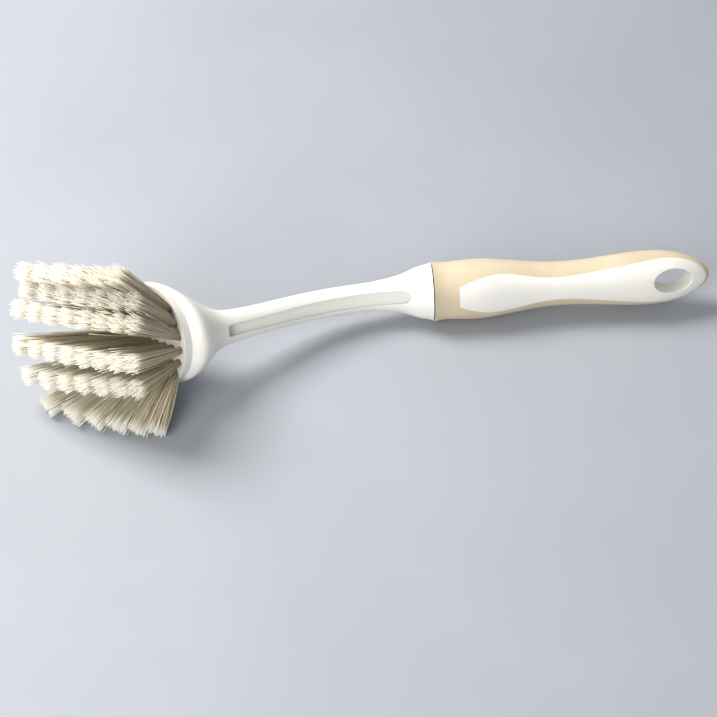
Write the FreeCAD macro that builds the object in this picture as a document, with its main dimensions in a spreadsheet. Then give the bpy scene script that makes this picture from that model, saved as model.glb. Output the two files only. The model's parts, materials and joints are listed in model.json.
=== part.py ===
import FreeCAD, Part
import math
import os

# A round-headed scrubbing brush, lying on its side as it comes to rest on a table.
# Every piece is drawn in the brush's own axes: the seam between neck and handle is at the origin,
# +X runs to the hanging end, Y is the width and -Z is the front, which carries the window and the
# bristles. One placement, at the end, lays all the pieces down together.

V = FreeCAD.Vector

DIMENSIONS = {
    # how the brush lies
    "lie_roll": 25.0,
    "lie_pitch": 1.5,
    # handle
    "grip_skin": 1.7,
    "handle_length": 112.0,
    "hole_centre": 96.5,
    "hole_half_long": 7.2,
    "hole_half_wide": 4.4,
    "hole_lip": 2.4,
    # push-fit joint between neck and handle
    "seam_gap": 0.5,
    "tang_length": 24.0,
    "tang_width": 11.0,
    "tang_depth": 8.0,
    "tang_clearance": 0.15,
    "tang_root": 3.0,
    "barb_place": 0.7,
    "barb_rise": 0.6,
    "barb_length": 2.4,
    "barb_width": 6.0,
    # neck
    "collar_straight": 8.5,
    "neck_bend": 30.0,
    "neck_arc": 52.0,
    "channel_start": 9.0,
    "channel_end": 90.0,
    "channel_half": 3.0,
    "channel_half_head": 2.4,
    "web_half": 2.8,
    # head
    "head_tilt": 42.0,
    "head_radius": 20.0,
    "head_rim": 3.2,
    "rim_lap": 0.2,
    "head_x": -110.0,
    "head_z": -30.6,
    # bristles
    "hole_radius": 1.3,
    "hole_depth": 4.6,
    "tuft_radius": 1.25,
    "root_half": 12.8,
    "root_field": 17.8,
    "root_inset": 1.2,
    "row_fan": 15.0,
    "tip_thick": 3.2,
    "tip_fill": 0.46,
    "anchor_width": 3.1,
    "anchor_height": 1.7,
    "anchor_thick": 0.4,
    "anchor_foot": 0.3,
}

# how far the cutting tools run past what they cut
CUT_PAST = 15.0

# x, half width, half depth of the handle's outside
HANDLE_STATIONS = (
    (0.0, 12.2, 11.6), (15.0, 12.2, 11.1), (29.6, 11.1, 9.6), (41.0, 9.6, 8.2), (52.0, 8.95, 7.7),
    (68.0, 9.8, 8.1), (84.0, 11.1, 8.7), (96.0, 10.35, 7.7), (104.0, 8.0, 5.8), (109.0, 5.1, 3.8),
    (112.0, 1.6, 1.3),
)
# distance from the seam along the neck, half width, half depth
NECK_STATIONS = (
    (0.0, 11.8, 11.1), (4.0, 10.9, 9.9), (8.0, 9.7, 8.2), (12.0, 8.1, 6.7), (17.0, 6.9, 5.7),
    (24.0, 6.0, 5.1), (38.0, 5.8, 4.9), (55.0, 5.8, 4.9), (72.0, 5.9, 5.0), (86.5, 6.6, 5.3),
)
# outline of the white window in the grip: x, half width
WINDOW = (
    (9.8, 4.1), (15.0, 6.1), (22.5, 7.7), (30.0, 7.5), (38.5, 5.8), (47.0, 4.7), (60.0, 5.3),
    (75.0, 7.3), (86.0, 8.7), (96.0, 8.9), (103.5, 7.0), (108.3, 3.9), (110.2, 0.0),
)
# bristle rows: number of tufts, Y of the tips at the far and the near end, length of the far and the
# near tuft; lying on the brush has pushed the tips to one side, the middle rows most
TUFT_ROWS = (
    (6, -32.0, -36.0, 46.0, 38.0), (7, -24.5, -25.0, 43.5, 30.0), (8, -16.8, -17.4, 46.0, 31.0),
    (8, -2.0, -2.5, 45.5, 31.0), (7, 10.5, 9.0, 44.3, 28.0), (6, 21.0, 17.0, 40.0, 17.0),
)
# the skin thins to a quarter of its thickness over the handle's last twelve millimetres
BLUNT_END = 12.0
BLUNT_SHARE = 0.25

doc = FreeCAD.newDocument("scrubbing_brush")
sheet = doc.addObject("Spreadsheet::Sheet", "dims")
for line, (name, value) in enumerate(DIMENSIONS.items(), start=1):
    sheet.set("A%d" % line, name)
    sheet.set("B%d" % line, str(value))
    sheet.setAlias("B%d" % line, name)
doc.recompute()


def dim(name):
    """A driving dimension, as a plain number."""
    return float(sheet.get(name))


def bind(obj, **properties):
    """Bind an object's sizes to expressions of the sheet's cells."""
    for prop, expression in properties.items():
        obj.setExpression(prop, expression)


def section(name, centre, normal, across, half_across, half_along):
    """An ellipse with its long axis along `across`, square to `normal`."""
    ring = doc.addObject("Part::Ellipse", name)
    ring.MajorRadius = half_across
    ring.MinorRadius = half_along
    turn = FreeCAD.Rotation(across, normal.cross(across), normal, "ZXY")
    ring.Placement = FreeCAD.Placement(centre, turn)
    return ring


def loft(name, rings, ruled=False):
    solid = doc.addObject("Part::Loft", name)
    solid.Sections = rings
    solid.Solid = True
    solid.Ruled = ruled
    return solid


def boolean(kind, name, base, tool):
    result = doc.addObject("Part::" + kind, name)
    result.Base = base
    result.Tool = tool
    result.Refine = False
    return result


def fuse(name, *shapes):
    result = doc.addObject("Part::MultiFuse", name)
    result.Shapes = list(shapes)
    return result


def box(name, x, length, width, height):
    """A box centred on Y and Z that starts at x; its sizes are expressions."""
    block = doc.addObject("Part::Box", name)
    bind(block, Length=length, Width=width, Height=height)
    doc.recompute()
    block.Placement.Base = V(x, -block.Width.Value / 2, -block.Height.Value / 2)
    return block


ACROSS = V(0, 1, 0)
ALONG = V(1, 0, 0)


# ---- handle -------------------------------------------------------------------------------

def handle_envelope(name, inset):
    """The handle's outside, or the same shape drawn in by `inset`."""
    rings = []
    for k, (x, half_w, half_d) in enumerate(HANDLE_STATIONS):
        shrink = min(1.0, (dim("handle_length") - x) / BLUNT_END + BLUNT_SHARE)
        place = x if inset == 0 else x * (1 - inset / dim("handle_length"))
        w = half_w - inset * shrink
        d = half_d - inset * shrink
        rings.append(section("%s_ring_%d" % (name, k), V(place, 0, 0), ALONG, ACROSS, w, d))
    return loft(name, rings)


def window_prism():
    """The window's outline, extruded right through the handle."""
    upper = [V(x, y, 0) for x, y in WINDOW]
    lower = [V(x, -y, 0) for x, y in reversed(WINDOW[:-1])]
    curve = Part.BSplineCurve()
    curve.interpolate(upper + lower)
    start = V(WINDOW[0][0], WINDOW[0][1], 0)
    end = V(WINDOW[0][0], -WINDOW[0][1], 0)
    outline = Part.Wire([curve.toShape(), Part.makeLine(end, start)])
    face = doc.addObject("Part::Feature", "window_outline")
    face.Shape = Part.Face(outline)
    prism = doc.addObject("Part::Extrusion", "window_prism")
    prism.Base = face
    prism.DirMode = "Custom"
    prism.Dir = V(0, 0, 1)
    prism.LengthFwd = 2 * CUT_PAST
    prism.Symmetric = True
    prism.Solid = True
    return prism


def hanging_hole():
    """An oval hole whose lips round over into both faces."""
    rings = []
    reach = 10.0
    for k, share in enumerate((-1.0, -0.66, 0.0, 0.66, 1.0)):
        centre = V(dim("hole_centre"), 0, share * reach)
        ring = section("hole_ring_%d" % k, centre, V(0, 0, 1), ALONG, 2.0, 1.0)
        flare = "dims.hole_lip * %.6f" % abs(share) ** 3
        bind(ring, MajorRadius="dims.hole_half_long + " + flare)
        bind(ring, MinorRadius="dims.hole_half_wide + " + flare)
        rings.append(ring)
    return loft("hanging_hole_tool", rings)


def tang(name, grow):
    """The neck's tongue with a barb on each broad face; `grow` makes the socket for it."""
    wider = " + %.3f" % (2 * grow)
    tongue = box(name + "_tongue", -dim("seam_gap") - dim("tang_root"),
                 "dims.tang_length + dims.seam_gap + dims.tang_root + %.3f" % grow,
                 "dims.tang_width" + wider, "dims.tang_depth" + wider)
    barb = box(name + "_barb", dim("tang_length") * dim("barb_place") - grow,
               "dims.barb_length" + wider, "dims.barb_width" + wider,
               "dims.tang_depth + 2 * dims.barb_rise" + wider)
    return fuse(name, tongue, barb)


def build_handle():
    outside = handle_envelope("handle_outside", 0)
    inside = handle_envelope("handle_inside", dim("grip_skin"))
    window = boolean("Common", "window_land", outside, window_prism())
    blank = fuse("core_blank", inside, window)
    grip = boolean("Cut", "grip_cut", outside, blank)
    hole = hanging_hole()
    socket = tang("socket_tool", dim("tang_clearance"))
    core = boolean("Cut", "core_cut", blank, fuse("core_tools", hole, socket))
    doc.recompute()
    core.Label = "handle_core"
    grip.Label = "grip_overmould"
    return [core, grip]


# ---- neck and head ------------------------------------------------------------------------

def neck_point(run):
    """The neck's centre line: its point and the angle it has turned to the front, in degrees."""
    straight = dim("collar_straight")
    arc = dim("neck_arc")
    bend = math.radians(dim("neck_bend"))
    radius = arc / bend
    if run <= straight:
        return V(-run, 0, 0), 0.0
    turned = min((run - straight) / radius, bend)
    point = V(-straight - radius * math.sin(turned), 0, -radius * (1 - math.cos(turned)))
    rest = max(0.0, run - straight - arc)
    point += V(-rest * math.cos(bend), 0, -rest * math.sin(bend))
    return point, math.degrees(turned)


def facing(angle):
    """Unit vector that points to the head end, turned `angle` degrees to the front."""
    a = math.radians(angle)
    return V(-math.cos(a), 0, -math.sin(a))


def head_frame():
    """Centre of the bristle face, its outward normal, and the in-plane direction to the front."""
    normal = facing(dim("head_tilt"))
    a = math.radians(dim("head_tilt"))
    return V(dim("head_x"), 0, dim("head_z")), normal, V(math.sin(a), 0, -math.cos(a))


def neck_body():
    rings = []
    for k, (run, half_w, half_d) in enumerate(NECK_STATIONS):
        start, angle = neck_point(run)
        if run == 0:
            start = V(-dim("seam_gap"), 0, 0)
        rings.append(section("neck_ring_%d" % k, start, facing(angle), ACROSS, half_w, half_d))
    neck_end, bend = neck_point(NECK_STATIONS[-1][0])
    half_w, half_d = NECK_STATIONS[-1][1:]
    centre, normal, _ = head_frame()
    rim_back = centre - normal * dim("head_rim")
    lead = (rim_back.x - neck_end.x) / 2
    knee = neck_end + V(lead, 0, lead * math.tan(math.radians(bend)))
    steps = 7
    for k in range(1, steps + 1):
        w = k / steps
        ease = w * w * (3 - 2 * w)
        point = neck_end * (1 - w) ** 2 + knee * (2 * w * (1 - w)) + rim_back * w ** 2
        angle = bend + (dim("head_tilt") - bend) * ease
        across = half_w + (dim("head_radius") - half_w) * ease
        along = half_d + (dim("head_radius") - half_d) * ease
        rings.append(section("flare_ring_%d" % k, point, facing(angle), ACROSS, across, along))
    return loft("neck_loft", rings)


def channel(name, side):
    """The long recess in the neck's front (side -1) or back (side +1), down to the thin web."""
    near = dim("channel_start")
    far = dim("channel_end")
    steps = 12
    floor = []
    lid = []
    for k in range(steps + 1):
        point, angle = neck_point(near + (far - near) * k / steps)
        a = math.radians(angle)
        up = V(-math.sin(a), 0, math.cos(a)) * side
        floor.append(point + up * dim("web_half"))
        lid.append(point + up * CUT_PAST)
    side_curve = Part.BSplineCurve()
    side_curve.interpolate(floor)
    lid_line = Part.makePolygon([floor[-1]] + list(reversed(lid)) + [floor[0]])
    profile = Part.Face(Part.Wire([side_curve.toShape()] + lid_line.Edges))
    slab = profile.extrude(V(0, 2 * CUT_PAST, 0))
    slab.translate(V(0, -CUT_PAST, 0))
    r0 = dim("channel_half")
    r1 = dim("channel_half_head")
    x0 = floor[0].x - r0
    x1 = floor[-1].x + r1
    plan = Part.Wire([
        Part.Arc(V(x0, -r0, 0), V(x0 + r0, 0, 0), V(x0, r0, 0)).toShape(),
        Part.makeLine(V(x0, r0, 0), V(x1, r1, 0)),
        Part.Arc(V(x1, r1, 0), V(x1 - r1, 0, 0), V(x1, -r1, 0)).toShape(),
        Part.makeLine(V(x1, -r1, 0), V(x0, -r0, 0)),
    ])
    below = floor[-1].z - 2 * CUT_PAST
    column = Part.Face(plan).extrude(V(0, 0, 2 * CUT_PAST - below))
    column.translate(V(0, 0, below))
    tool = doc.addObject("Part::Feature", name)
    tool.Shape = slab.common(column)
    return tool


# ---- bristles -----------------------------------------------------------------------------

def lie_rotation():
    """Rolls the brush onto its side and lifts the hanging end."""
    roll = FreeCAD.Rotation(V(1, 0, 0), -90 - dim("lie_roll"))
    pitch = FreeCAD.Rotation(V(0, 1, 0), -dim("lie_pitch"))
    return pitch.multiply(roll)


def floor_height():
    """Height of the seam's centre when the handle's collar rests on the table."""
    lowest = 0.0
    turn = lie_rotation()
    for x, half_w, half_d in HANDLE_STATIONS:
        for degrees in range(0, 360, 5):
            a = math.radians(degrees)
            point = turn.multVec(V(x, half_w * math.cos(a), half_d * math.sin(a)))
            lowest = min(lowest, point.z)
    return -lowest


def tuft_plan():
    """Root, tip and neighbour spacing of every tuft, row by row."""
    centre, normal, forward = head_frame()
    turn = lie_rotation()
    seam_height = floor_height()
    rows = []
    last = len(TUFT_ROWS) - 1
    for r, (count, lean_far, lean_near, length_far, length_near) in enumerate(TUFT_ROWS):
        v = -1 + 2 * r / last
        root_y = v * dim("root_half")
        reach = math.sqrt(dim("root_field") ** 2 - root_y ** 2)
        reach -= dim("root_inset") if abs(v) < 1 else 0.0
        row = []
        for k in range(count):
            u = -1 + 2 * k / (count - 1)
            root = centre + forward * (u * reach) + V(0, root_y, 0)
            fan = math.radians(dim("row_fan")) * u
            axis = normal * math.cos(fan) + forward * math.sin(fan)
            share = k / (count - 1)
            length = length_far + (length_near - length_far) * share
            lean = lean_far + (lean_near - lean_far) * share - root_y
            tip = root + axis * math.sqrt(length ** 2 - lean ** 2) + V(0, lean, 0)
            height = turn.multVec(tip).z + seam_height - dim("tip_thick")
            if height < 0 or v == 1:
                tip.y += height / math.cos(math.radians(dim("lie_roll")))
            row.append((root, tip))
        rows.append(row)
    return rows


def tuft_parts(r, k, row):
    """One tuft's hole, anchor and solid, all on the tuft's own line."""
    root, tip = row[k]
    axis = (tip - root).normalize()
    other = row[k - 1][1] if k else row[1][1]
    along = (other - tip)
    along = (along - axis * along.dot(axis)).normalize()
    pitch = (other - tip).dot(along)
    mark = "%d_%d" % (r + 1, k + 1)
    foot = root - axis * dim("hole_depth")
    radius = dim("tuft_radius")
    rings = [
        section("foot_" + mark, foot, axis, along, radius, radius),
        section("mouth_" + mark, root, axis, along, radius, radius),
        section("tip_" + mark, tip, axis, along,
                max(dim("tip_fill") * abs(pitch), dim("tip_thick")), dim("tip_thick")),
    ]
    for ring in rings[:2]:
        bind(ring, MajorRadius="dims.tuft_radius", MinorRadius="dims.tuft_radius")
    blank = loft("tuft_blank_" + mark, rings, ruled=True)
    hole = doc.addObject("Part::Cylinder", "hole_" + mark)
    bind(hole, Radius="dims.hole_radius", Height="2 * dims.hole_depth")
    turn = FreeCAD.Rotation(along, axis.cross(along), axis, "ZXY")
    hole.Placement = FreeCAD.Placement(foot, turn)
    anchor = doc.addObject("Part::Box", "anchor_" + mark)
    bind(anchor, Length="dims.anchor_width", Width="dims.anchor_thick", Height="dims.anchor_height")
    corner = V(-dim("anchor_width") / 2, -dim("anchor_thick") / 2, dim("anchor_foot"))
    anchor.Placement = FreeCAD.Placement(foot + turn.multVec(corner), turn)
    tuft = boolean("Cut", "tuft_cut_" + mark, blank, anchor)
    tuft.Label = "tuft_row%d_%d" % (r + 1, k + 1)
    return hole, anchor, tuft


def build_bristles():
    """Every tuft and anchor, and the tools that drill and slot the head for them."""
    holes, slots, nodes = [], [], []
    for r, row in enumerate(tuft_plan()):
        anchors = []
        for k in range(len(row)):
            hole, anchor, tuft = tuft_parts(r, k, row)
            holes.append(hole)
            anchors.append(anchor)
            nodes.append(tuft)
        group = doc.addObject("Part::Compound", "anchor_group_%d" % (r + 1))
        group.Links = anchors
        group.Label = "anchors_row%d" % (r + 1)
        nodes.append(group)
        slots += anchors
    tools = []
    for name, shapes in (("hole_tools", holes), ("anchor_tools", slots)):
        tool = doc.addObject("Part::Compound", name)
        tool.Links = shapes
        tools.append(tool)
    return tools, nodes


def build_head(tools):
    centre, normal, forward = head_frame()
    rim = doc.addObject("Part::Cylinder", "head_rim")
    bind(rim, Radius="dims.head_radius", Height="dims.head_rim + dims.rim_lap")
    turn = FreeCAD.Rotation(ACROSS, normal.cross(ACROSS), normal, "ZXY")
    rim.Placement = FreeCAD.Placement(centre - normal * (dim("head_rim") + dim("rim_lap")), turn)
    neck = boolean("Cut", "neck_front_cut", neck_body(), channel("front_channel", -1))
    neck = boolean("Cut", "neck_back_cut", neck, channel("back_channel", 1))
    body = fuse("head_blank", neck, rim, tang("tang", 0))
    drilled = boolean("Cut", "head_drilled", body, tools[0])
    head = boolean("Cut", "head_slotted", drilled, tools[1])
    head.Label = "head_and_neck"
    return head


# ---- assembly -----------------------------------------------------------------------------

def lay_down(nodes):
    """Give every piece the same placement: lying on the table, centred over the origin."""
    turn = lie_rotation()
    whole = Part.makeCompound([node.Shape for node in nodes])
    whole.Placement = FreeCAD.Placement(V(0, 0, 0), turn)
    size = whole.optimalBoundingBox(False)
    shift = V(-(size.XMin + size.XMax) / 2, -(size.YMin + size.YMax) / 2, -size.ZMin)
    lie = FreeCAD.Placement(shift, turn)
    for node in nodes:
        node.Placement = lie.multiply(node.Placement)


def check(nodes):
    for obj in doc.Objects:
        if "Invalid" in obj.State or "Error" in obj.State:
            raise RuntimeError("%s is %s" % (obj.Label, obj.State))
    for node in nodes:
        if node.Shape.isNull() or not node.Shape.isValid() or not node.Shape.Solids:
            raise RuntimeError("%s has no sound solid" % node.Label)


tools, bristle_nodes = build_bristles()
nodes = build_handle() + [build_head(tools)] + bristle_nodes
doc.recompute()
check(nodes)
lay_down(nodes)
doc.recompute()
check(nodes)

os.makedirs("parts", exist_ok=True)
for node in nodes:
    node.Shape.exportStep("parts/%s.step" % node.Label)
    print(node.Label, len(node.Shape.Solids), round(node.Shape.Volume, 1))
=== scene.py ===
import json
import math

import bmesh
import bpy
import numpy as np
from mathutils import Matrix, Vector


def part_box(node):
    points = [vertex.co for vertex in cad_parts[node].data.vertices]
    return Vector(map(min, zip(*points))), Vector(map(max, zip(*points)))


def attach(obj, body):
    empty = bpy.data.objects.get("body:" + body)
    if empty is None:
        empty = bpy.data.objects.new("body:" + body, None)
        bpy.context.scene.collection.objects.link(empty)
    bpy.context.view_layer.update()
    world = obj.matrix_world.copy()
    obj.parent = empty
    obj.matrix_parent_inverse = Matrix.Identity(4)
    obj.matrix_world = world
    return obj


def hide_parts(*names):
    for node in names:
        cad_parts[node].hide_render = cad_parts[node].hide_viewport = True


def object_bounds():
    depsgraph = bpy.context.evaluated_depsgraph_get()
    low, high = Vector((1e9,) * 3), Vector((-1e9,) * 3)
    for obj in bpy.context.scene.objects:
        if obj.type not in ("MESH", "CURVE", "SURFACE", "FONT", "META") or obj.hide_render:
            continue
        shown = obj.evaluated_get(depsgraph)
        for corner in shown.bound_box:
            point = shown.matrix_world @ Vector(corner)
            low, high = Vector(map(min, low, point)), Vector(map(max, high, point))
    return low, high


# A scrubbing brush lying on its side on a pale table, in metres. The white neck, the handle and the
# grip are the CAD solids with moulded-plastic materials. Each solid tuft is replaced by loose
# filaments that start in its hole and fan out to the tuft's own slanted tip.

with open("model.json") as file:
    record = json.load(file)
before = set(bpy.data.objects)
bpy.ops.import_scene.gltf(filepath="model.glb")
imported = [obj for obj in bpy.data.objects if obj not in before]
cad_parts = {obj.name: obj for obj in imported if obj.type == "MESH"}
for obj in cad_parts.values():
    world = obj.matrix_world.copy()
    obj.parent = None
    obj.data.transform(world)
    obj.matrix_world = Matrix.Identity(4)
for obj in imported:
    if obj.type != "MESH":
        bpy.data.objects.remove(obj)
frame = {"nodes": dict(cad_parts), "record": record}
cad_low, cad_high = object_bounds()

MM = 0.001

# bristles
TUFTS_IN_ROW = (6, 7, 8, 8, 7, 6)
ROW_SEED = 100
FILAMENTS = 150
SIDES = 5
RINGS = 7
FILAMENT_RADIUS = 0.13 * MM
CUT_END = 0.75  # a strand's radius at its cut end, as a share of FILAMENT_RADIUS
BOX_MARGIN = 1.05 * FILAMENT_RADIUS
BUNDLE_RADIUS = 1.2 * MM  # of a tuft's strands down in their hole
HOLE_DEPTH = 4.6 * MM  # from a tuft's foot to the bristle face
SUNK = 1.5 * MM  # how far below the bristle face a strand starts
END_BAND = 1.5 * MM  # length at each end of a solid tuft that its foot or tip is measured on
AXIS_PASSES = 2
TURN_JITTER = 0.25  # radians
TIP_SQUARE = 0.75  # 0 leaves a tip oval, 1 makes it a rectangle
TIP_SCATTER = 0.09  # share of the tip's half axes
TIP_JITTER = 0.6 * MM  # two standard deviations, and so is BOW
BOW = 0.7 * MM
LONGER = 0.3 * MM  # the furthest that a strand ends past the tip
SHORTER = 1.0 * MM  # the furthest that a strand ends short of the tip
STRAY_SHARE = 0.012
STRAY_REACH = 5.0 * MM
STRAY_LEAST = 0.4  # share of STRAY_REACH
GOLDEN_ANGLE = math.pi * (3 - math.sqrt(5))

# round ejector mark on the window
MARK_PLACE = 11.5 * MM  # along the handle from the hanging hole's centre
MARK_RADIUS = 1.3 * MM
MARK_BEAD = 0.09 * MM
MARK_STEPS = 48
MARK_SIDES = 8

# setting
FLOOR_HALF = 8.0
SKY_STRENGTH = 0.38

# camera, with its angles in degrees and its lens and sensor in millimetres
AIM = Vector((-6.6, -7.4, 10.3)) * MM
AZIMUTH = -3.92
ELEVATION = 45.5
DISTANCE = 0.5526
LENS = 71.87
SENSOR = 36.0


# ---- materials ----------------------------------------------------------------------------

def new_material(name):
    """A material with nodes, and its Principled shader."""
    material = bpy.data.materials.new(name)
    material.use_nodes = True
    shader = material.node_tree.nodes["Principled BSDF"]
    return material, shader


def add(material, kind, **settings):
    """A new shader node with the given settings."""
    node = material.node_tree.nodes.new(kind)
    for key, value in settings.items():
        setattr(node, key, value)
    return node


def link(material, source, target):
    """Joins an output socket to an input socket."""
    material.node_tree.links.new(source, target)


def noise(material, per_metre, detail=3.0, stretch=(1, 1, 1)):
    """Object-space noise with per_metre features in a metre."""
    place = add(material, "ShaderNodeTexCoord")
    mapping = add(material, "ShaderNodeMapping")
    mapping.inputs["Scale"].default_value = stretch
    texture = add(material, "ShaderNodeTexNoise")
    texture.inputs["Scale"].default_value = per_metre
    texture.inputs["Detail"].default_value = detail
    link(material, place.outputs["Object"], mapping.inputs["Vector"])
    link(material, mapping.outputs["Vector"], texture.inputs["Vector"])
    return texture.outputs["Fac"]


def ramp(material, value, *stops):
    """A colour ramp over value; each stop is a position and a linear colour."""
    node = add(material, "ShaderNodeValToRGB")
    elements = node.color_ramp.elements
    while len(elements) < len(stops):
        elements.new(0.5)
    for element, (position, colour) in zip(elements, stops):
        element.position = position
        element.color = (*colour, 1.0)
    link(material, value, node.inputs["Fac"])
    return node.outputs["Color"]


def mottled(material, value, dark, light):
    """Soft patches of two close colours over a noise value."""
    return ramp(material, value, (0.3, dark), (0.7, light))


def mix(material, factor, first, second, blend="MIX"):
    """Two colours mixed; each argument is a socket or a plain value."""
    node = add(material, "ShaderNodeMix", data_type="RGBA", blend_type=blend)
    for socket, value in (("Factor", factor), ("A", first), ("B", second)):
        kind = "NodeSocketFloat" if socket == "Factor" else "NodeSocketColor"
        target = [s for s in node.inputs if s.name == socket and s.bl_idname.startswith(kind)][0]
        if isinstance(value, bpy.types.NodeSocket):
            link(material, value, target)
        else:
            target.default_value = value
    return [s for s in node.outputs if s.bl_idname.startswith("NodeSocketColor")][0]


def uneven_rough(material, shader, value, low, high):
    """Spreads the roughness from low to high over a noise value."""
    node = add(material, "ShaderNodeMapRange")
    node.inputs["To Min"].default_value = low
    node.inputs["To Max"].default_value = high
    link(material, value, node.inputs["Value"])
    link(material, node.outputs["Result"], shader.inputs["Roughness"])


def bump(material, shader, height, strength, distance):
    """Gives the shader a fine relief from a height value."""
    node = add(material, "ShaderNodeBump")
    node.inputs["Strength"].default_value = strength
    node.inputs["Distance"].default_value = distance
    link(material, height, node.inputs["Height"])
    link(material, node.outputs["Normal"], shader.inputs["Normal"])


def white_plastic():
    """Satin white polypropylene, with painted shade making it a little greyer where it is recessed.
    """
    material, shader = new_material("white_plastic")
    body = mottled(material, noise(material, per_metre=45.0),
                   dark=(0.83, 0.81, 0.74), light=(0.87, 0.855, 0.795))
    # painted shade: ambient occlusion tints the plastic cool grey in its recesses, such as the
    # neck's channel
    painted_shade_ao = add(material, "ShaderNodeAmbientOcclusion", samples=8, only_local=True)
    painted_shade_ao.inputs["Distance"].default_value = 6.0 * MM
    shade = ramp(material, painted_shade_ao.outputs["AO"], (0.35, (1, 1, 1)), (0.85, (0, 0, 0)))
    colour = mix(material, shade, first=body, second=(0.70, 0.735, 0.70, 1.0))
    link(material, colour, shader.inputs["Base Color"])
    uneven_rough(material, shader, noise(material, per_metre=220.0), low=0.30, high=0.44)
    shader.inputs["Subsurface Weight"].default_value = 0.08
    shader.inputs["Subsurface Scale"].default_value = 2.0 * MM
    shader.inputs["IOR"].default_value = 1.49
    bump(material, shader, noise(material, per_metre=900.0), strength=0.10, distance=0.05 * MM)
    return material


def grip_rubber():
    """Soft-touch beige, matte, with a very fine skin texture."""
    material, shader = new_material("grip_rubber")
    colour = mottled(material, noise(material, per_metre=70.0, detail=4.0),
                     dark=(0.60, 0.505, 0.345), light=(0.67, 0.57, 0.40))
    link(material, colour, shader.inputs["Base Color"])
    uneven_rough(material, shader, noise(material, per_metre=400.0), low=0.62, high=0.78)
    shader.inputs["Sheen Weight"].default_value = 0.12
    skin = noise(material, per_metre=2600.0, detail=4.0)
    bump(material, shader, skin, strength=0.22, distance=0.06 * MM)
    return material


def bristle():
    """Cream filament: painted shade makes it beige down in the tuft, a painted highlight makes it
    bright at the cut tips, and each strand has its own tone.
    """
    material, shader = new_material("bristle")
    along = add(material, "ShaderNodeAttribute", attribute_name="along")
    tone = add(material, "ShaderNodeAttribute", attribute_name="tone")
    # painted shade deep in the tuft, rising to a painted highlight at the cut tips
    colour = ramp(material, along.outputs["Fac"],
                  (0.0, (0.50, 0.41, 0.26)),
                  (0.3, (0.68, 0.59, 0.41)),
                  (0.86, (0.80, 0.73, 0.57)),
                  (0.96, (0.95, 0.92, 0.83)))
    strand = ramp(material, tone.outputs["Fac"], (0.0, (0.78, 0.76, 0.72)), (1.0, (1, 1, 1)))
    toned = mix(material, 1.0, first=colour, second=strand, blend="MULTIPLY")
    link(material, toned, shader.inputs["Base Color"])
    uneven_rough(material, shader, noise(material, per_metre=500.0), low=0.38, high=0.52)
    shader.inputs["Subsurface Weight"].default_value = 0.10
    shader.inputs["Subsurface Scale"].default_value = 1.0 * MM
    return material


def anchor_wire():
    """Cut steel strip with fine brush lines."""
    material, shader = new_material("anchor_wire")
    lines = noise(material, per_metre=900.0, detail=2.0, stretch=(1, 1, 12))
    colour = mottled(material, lines, dark=(0.50, 0.50, 0.48), light=(0.66, 0.66, 0.64))
    link(material, colour, shader.inputs["Base Color"])
    uneven_rough(material, shader, lines, low=0.25, high=0.45)
    shader.inputs["Metallic"].default_value = 1.0
    return material


def table_top():
    """A plain pale surface with broad, faint patches."""
    material, shader = new_material("table_top")
    colour = mottled(material, noise(material, per_metre=9.0),
                     dark=(0.33, 0.35, 0.385), light=(0.36, 0.38, 0.415))
    link(material, colour, shader.inputs["Base Color"])
    uneven_rough(material, shader, noise(material, per_metre=60.0), low=0.55, high=0.7)
    return material


def dress(node, material):
    """Gives a CAD node's slots the material."""
    piece = frame["nodes"][node]
    if not piece.material_slots:
        piece.data.materials.append(material)
    for holder in piece.material_slots:
        holder.material = material


# ---- meshes and objects -------------------------------------------------------------------

def smooth(mesh):
    """Shades every face of the mesh smooth."""
    mesh.polygons.foreach_set("use_smooth", [True] * len(mesh.polygons))


def put(name, data):
    """A new object that holds data, in the scene's collection."""
    thing = bpy.data.objects.new(name, data)
    bpy.context.collection.objects.link(thing)
    return thing


# ---- bristles -----------------------------------------------------------------------------

def node_points(node):
    """The points of a CAD node's mesh as rows of an array."""
    mesh = frame["nodes"][node].data
    flat = np.empty(3 * len(mesh.vertices))
    mesh.vertices.foreach_get("co", flat)
    return flat.reshape(-1, 3)


def long_axis(points):
    """The direction in which the points spread furthest."""
    return np.linalg.svd(points - points.mean(axis=0), full_matrices=False)[2][0]


def girth(points):
    """The greatest distance of a point from the points' centre."""
    return np.linalg.norm(points - points.mean(axis=0), axis=1).max()


def tuft_shape(node):
    """A tuft's foot and tip centres, its axis, and its tip's half axes as vectors.

    The axis starts as the solid's long direction, and each pass corrects it from the centres of
    the two ends. The tip is the end with the greater girth.
    """
    points = node_points(node)
    axis = long_axis(points)
    for _ in range(AXIS_PASSES):
        reach = points @ axis
        ends = [points[reach < reach.min() + END_BAND], points[reach > reach.max() - END_BAND]]
        foot_ring, tip_ring = sorted(ends, key=girth)
        foot = foot_ring.mean(axis=0)
        tip = tip_ring.mean(axis=0)
        axis = (tip - foot) / np.linalg.norm(tip - foot)
    flat = tip_ring - tip
    flat = flat - np.outer(flat @ axis, axis)
    wide = long_axis(flat)
    deep = np.cross(axis, wide)
    return foot, tip, axis, wide * np.abs(flat @ wide).max(), deep * np.abs(flat @ deep).max()


def strand_places(count, draw):
    """Evenly packed places on a unit disc, a little disturbed."""
    index = np.arange(count)
    radius = np.sqrt((index + 0.5) / count)
    angle = index * GOLDEN_ANGLE + draw.uniform(-TURN_JITTER, TURN_JITTER, count)
    return np.column_stack([radius * np.cos(angle), radius * np.sin(angle)])


def squared(place):
    """Pushes places on a disc out towards a square, as neighbouring tufts press a row's tips."""
    larger = np.abs(place).max(axis=1) / np.linalg.norm(place, axis=1)
    return place * (1 + TIP_SQUARE * (1 / larger - 1))[:, None]


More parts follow.
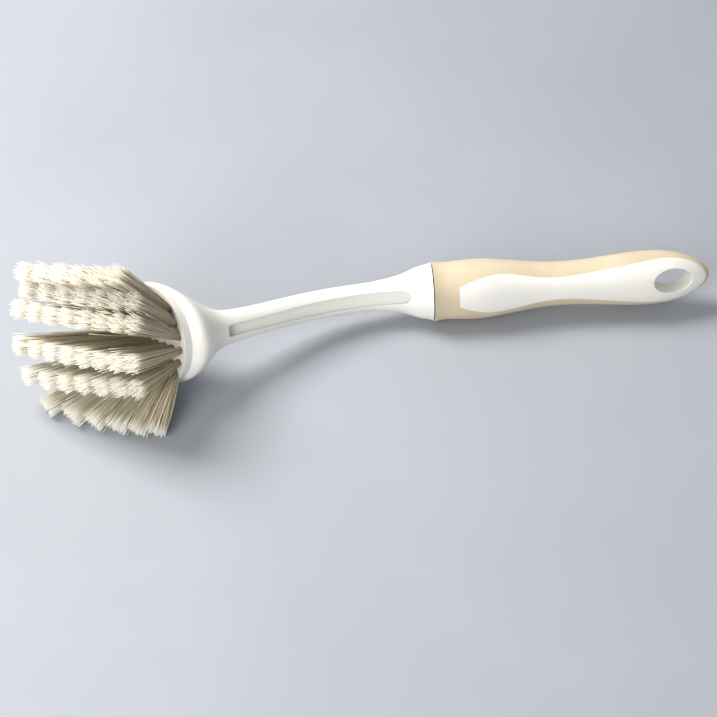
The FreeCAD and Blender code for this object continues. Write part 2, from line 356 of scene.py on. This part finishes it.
def strand_lines(node, draw):
    """Centre lines of a tuft's strands, as an array of strands, rings and coordinates, and the
    tuft's two directions across."""
    foot, tip, axis, wide, deep = tuft_shape(node)
    unit_wide = wide / np.linalg.norm(wide)
    unit_deep = deep / np.linalg.norm(deep)
    across = np.stack([unit_wide, unit_deep])
    place = strand_places(FILAMENTS, draw)
    packed = place * (BUNDLE_RADIUS - FILAMENT_RADIUS)
    start = foot + axis * (HOLE_DEPTH - SUNK) + packed @ across
    spot = squared(place) + draw.normal(0, TIP_SCATTER, place.shape)
    end = tip + spot @ np.stack([wide, deep])
    end += draw.normal(0, TIP_JITTER / 2, (FILAMENTS, 2)) @ across
    end += np.outer(draw.uniform(-SHORTER, LONGER, FILAMENTS), axis)
    stray = draw.random(FILAMENTS) < STRAY_SHARE
    heading = draw.uniform(0, 2 * math.pi, FILAMENTS)
    sideways = np.column_stack([np.cos(heading), np.sin(heading)]) @ across
    end += stray[:, None] * sideways * draw.uniform(STRAY_LEAST, 1.0, (FILAMENTS, 1)) * STRAY_REACH
    bow = draw.normal(0, BOW / 2, (FILAMENTS, 2)) @ across
    share = np.linspace(0, 1, RINGS)[None, :, None]
    lines = start[:, None] * (1 - share) + end[:, None] * share
    # 4 s (1 - s) is 0 at both ends of a strand and 1 halfway
    return lines + bow[:, None] * 4 * share * (1 - share), across


def keep_in_box(lines):
    """Keeps the strands off the table and inside the object's box."""
    return np.clip(lines, np.array(cad_low) + BOX_MARGIN, np.array(cad_high) - BOX_MARGIN)


def strand_faces():
    """Faces of one strand: a tube closed at both ends."""
    faces = []
    for ring in range(RINGS - 1):
        for side in range(SIDES):
            low = ring * SIDES + side
            next_low = ring * SIDES + (side + 1) % SIDES
            faces.append((low, next_low, next_low + SIDES, low + SIDES))
    faces.append(tuple(reversed(range(SIDES))))
    faces.append(tuple((RINGS - 1) * SIDES + side for side in range(SIDES)))
    return faces


def strand_points(lines, across):
    """Rings of points round the strands' centre lines, narrower at the cut end."""
    turn = 2 * math.pi * np.arange(SIDES) / SIDES
    rim = np.column_stack([np.cos(turn), np.sin(turn)]) @ across
    thick = np.full(RINGS, FILAMENT_RADIUS)
    thick[-1] *= CUT_END
    points = lines[:, :, None, :] + thick[None, :, None, None] * rim[None, None, :, :]
    return points.reshape(-1, 3)


def bristle_tuft(row, number, material):
    """One tuft of loose strands in place of its CAD solid."""
    node = "tuft_row%d_%d" % (row, number)
    draw = np.random.default_rng(ROW_SEED * row + number)
    lines, across = strand_lines(node, draw)
    points = strand_points(keep_in_box(lines), across)
    per_strand = RINGS * SIDES
    one = strand_faces()
    faces = [tuple(v + k * per_strand for v in face) for k in range(FILAMENTS) for face in one]
    mesh = bpy.data.meshes.new("bristles_row%d_%d" % (row, number))
    mesh.from_pydata(points.tolist(), [], faces)
    mesh.update()
    smooth(mesh)
    along = np.tile(np.repeat(np.linspace(0, 1, RINGS), SIDES), FILAMENTS)
    tone = np.repeat(draw.random(FILAMENTS), per_strand)
    for name, values in (("along", along), ("tone", tone)):
        layer = mesh.attributes.new(name, "FLOAT", "POINT")
        layer.data.foreach_set("value", values)
    mesh.materials.append(material)
    tuft = put(mesh.name, mesh)
    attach(tuft, "root")
    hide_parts(node)


# ---- small marks on the handle ------------------------------------------------------------

def handle_front(along):
    """The middle of the handle's front at the distance along from the hanging hole, and the
    surface normal there."""
    core = frame["nodes"]["handle_core"]
    low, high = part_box("handle_core")
    mount = frame["record"]["mounts"][0]
    front = Vector(mount["axis"]).normalized()
    centre = Vector(mount["pos_m"])
    width = front.cross(Vector((1, 0, 0))).normalized()
    length = width.cross(front)
    start = centre - length * along + front * (high - low).length
    found, place, normal, _ = core.ray_cast(start, -front)
    if not found:
        raise ValueError("the handle's front wasn't found")
    return place, normal


def ejector_mark(material):
    """The faint round witness left by an ejector pin: a fine raised ring."""
    place, normal = handle_front(MARK_PLACE)
    mesh = bpy.data.meshes.new("ejector_mark")
    form = bmesh.new()
    facing = normal.to_track_quat("Z", "Y")
    rings = []
    for step in range(MARK_STEPS):
        turn = 2 * math.pi * step / MARK_STEPS
        out = facing @ Vector((math.cos(turn), math.sin(turn), 0))
        ring = []
        for side in range(MARK_SIDES):
            tilt = 2 * math.pi * side / MARK_SIDES
            reach = MARK_RADIUS + MARK_BEAD * math.cos(tilt)
            lift = normal * MARK_BEAD * math.sin(tilt)
            ring.append(form.verts.new(place + out * reach + lift))
        rings.append(ring)
    for step, ring in enumerate(rings):
        after = rings[(step + 1) % MARK_STEPS]
        for side in range(MARK_SIDES):
            beside = (side + 1) % MARK_SIDES
            form.faces.new((ring[side], after[side], after[beside], ring[beside]))
    bmesh.ops.recalc_face_normals(form, faces=form.faces)
    form.to_mesh(mesh)
    form.free()
    smooth(mesh)
    mesh.materials.append(material)
    mark = put("ejector_mark", mesh)
    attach(mark, "root")


# ---- setting ------------------------------------------------------------------------------

def floor():
    """The surface that the brush lies on."""
    mesh = bpy.data.meshes.new("floor")
    corners = [(x * FLOOR_HALF, y * FLOOR_HALF, 0) for x, y in ((-1, -1), (1, -1), (1, 1), (-1, 1))]
    mesh.from_pydata(corners, [], [(0, 1, 2, 3)])
    mesh.materials.append(table_top())
    ground = put("floor", mesh)


def area_light(name, place, size, power, colour):
    """A square light at place that shines at the frame's origin."""
    lamp = bpy.data.lights.new(name, "AREA")
    lamp.size = size
    lamp.energy = power
    lamp.color = colour
    holder = put(name, lamp)
    holder.location = place
    holder.rotation_euler = (-Vector(place)).to_track_quat("-Z", "Y").to_euler()


def lights():
    """A key light from beyond the head, a softer fill from the viewer's left, and a dim sky."""
    area_light("key", place=(-0.50, 0.32, 0.75), size=0.45, power=12.0, colour=(1.0, 0.98, 0.95))
    area_light("fill", place=(-0.55, -0.75, 0.55), size=0.6, power=8.8, colour=(1.0, 0.985, 0.96))
    world = bpy.data.worlds.new("studio")
    world.use_nodes = True
    sky = world.node_tree.nodes["Background"]
    sky.inputs["Color"].default_value = (0.93, 0.96, 1.0, 1.0)
    sky.inputs["Strength"].default_value = SKY_STRENGTH
    bpy.context.scene.world = world
    bpy.context.scene.view_settings.view_transform = "Standard"


def camera():
    """The scene's camera, DISTANCE from AIM at its azimuth and elevation."""
    data = bpy.data.cameras.new("camera")
    data.lens = LENS
    data.sensor_width = SENSOR
    data.clip_start = 0.01
    data.clip_end = 20.0
    holder = put("camera", data)
    turn = math.radians(AZIMUTH)
    rise = math.radians(ELEVATION)
    flat = math.cos(rise)
    back = Vector((math.sin(turn) * flat, -math.cos(turn) * flat, math.sin(rise)))
    holder.location = AIM + back * DISTANCE
    holder.rotation_euler = (-back).to_track_quat("-Z", "Y").to_euler()
    bpy.context.scene.camera = holder


# ---- the scene ----------------------------------------------------------------------------

white = white_plastic()
dress("head_and_neck", white)
dress("handle_core", white)
dress("grip_overmould", grip_rubber())
steel = anchor_wire()
strand = bristle()
for row, count in enumerate(TUFTS_IN_ROW, start=1):
    dress("anchors_row%d" % row, steel)
    for number in range(1, count + 1):
        bristle_tuft(row, number, strand)
ejector_mark(white)
floor()
lights()
camera()
